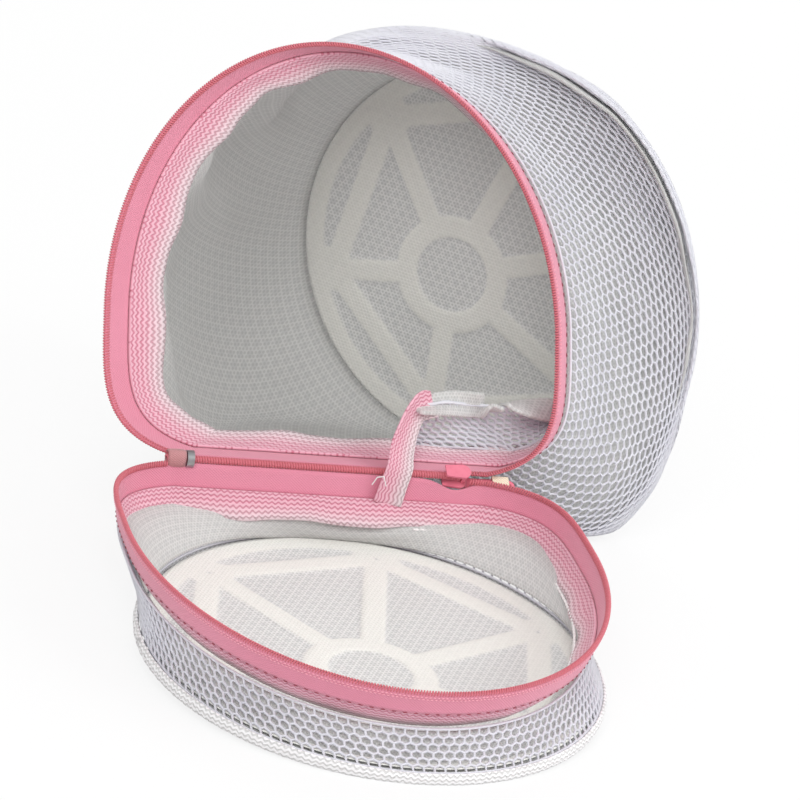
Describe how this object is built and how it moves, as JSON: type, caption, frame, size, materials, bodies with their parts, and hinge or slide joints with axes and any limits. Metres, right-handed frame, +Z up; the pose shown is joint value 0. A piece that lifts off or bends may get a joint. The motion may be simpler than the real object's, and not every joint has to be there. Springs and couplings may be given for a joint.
{
  "type": "mesh laundry bag",
  "caption": "Round double-mesh washing bag for delicates, open, with a zip-on lid, slider and puller, and a moulded lattice disc in each end.",
  "frame": {"origin": "middle of the bag's footprint, on the table it lies on", "axes": "+X along the lid's hinge towards the zip slider, +Y from the mouth to the back, +Z up"},
  "size_m": [0.2302, 0.3304, 0.1688],
  "materials": {
    "outer_mesh": "coarse white polyester honeycomb mesh",
    "lining_mesh": "fine white polyester mesh lining",
    "pink_tape": "woven pink zip tape",
    "coral_coil": "nylon coil, coral pink",
    "pink_binding": "pink tape under white mesh",
    "white_binding": "white bound seam",
    "lattice": "moulded cream-white polypropylene",
    "cream_elastic": "woven cream elastic",
    "slider_enamel": "pink enamelled zinc",
    "stop_metal": "crimped metal"
  },
  "bodies": {
    "drum": {"drum_outer_mesh": "outer_mesh", "drum_lining": "lining_mesh", "drum_mouth_binding": "pink_binding", "drum_zip_tape": "pink_tape", "drum_zip_coil": "coral_coil", "closed_zip_chain": "coral_coil", "zip_end_tab": "pink_tape", "zip_bottom_stop": "stop_metal", "puller_keeper": "cream_elastic", "hinge_strap": "pink_binding"},
    "drum_end": {"drum_end_lining_panel": "lining_mesh", "drum_end_lattice": "lattice", "drum_end_outer_panel": "outer_mesh", "drum_end_seam_binding": "white_binding"},
    "lid": {"lid_outer_mesh": "outer_mesh", "lid_lining": "lining_mesh", "lid_binding": "pink_binding", "lid_zip_tape": "pink_tape", "lid_zip_coil": "coral_coil", "lid_end_lining_panel": "lining_mesh", "lid_end_lattice": "lattice", "lid_end_outer_panel": "outer_mesh", "lid_end_seam_binding": "white_binding"},
    "slider": {"zip_slider": "slider_enamel"},
    "puller": {"zip_puller": "slider_enamel"}
  },
  "joints": [
    {"name": "lid_hinge", "type": "hinge", "parent": "drum", "child": "lid", "pos_m": [-0.03226, -0.00694, 0.04], "axis": [-1, 0, 0], "range_deg": [0, 125.96], "deforming": ["hinge_strap"]},
    {"name": "end_collapse", "type": "slide", "parent": "drum", "child": "drum_end", "axis": [-0.734, -0.6792, 0], "range_m": [0, 0.03], "deforming": ["drum_outer_mesh", "drum_lining"]},
    {"name": "slider_slide", "type": "slide", "parent": "drum", "child": "slider", "axis": [-1, 0, 0], "range_m": [0, 0.088], "deforming": ["closed_zip_chain"]},
    {"name": "puller_swing", "type": "hinge", "parent": "slider", "child": "puller", "pos_m": [0.01279, -0.00478, 0.0364], "axis": [0, 0.8572, 0.515], "range_deg": [0, 165], "deforming": ["puller_keeper"]}
  ]
}
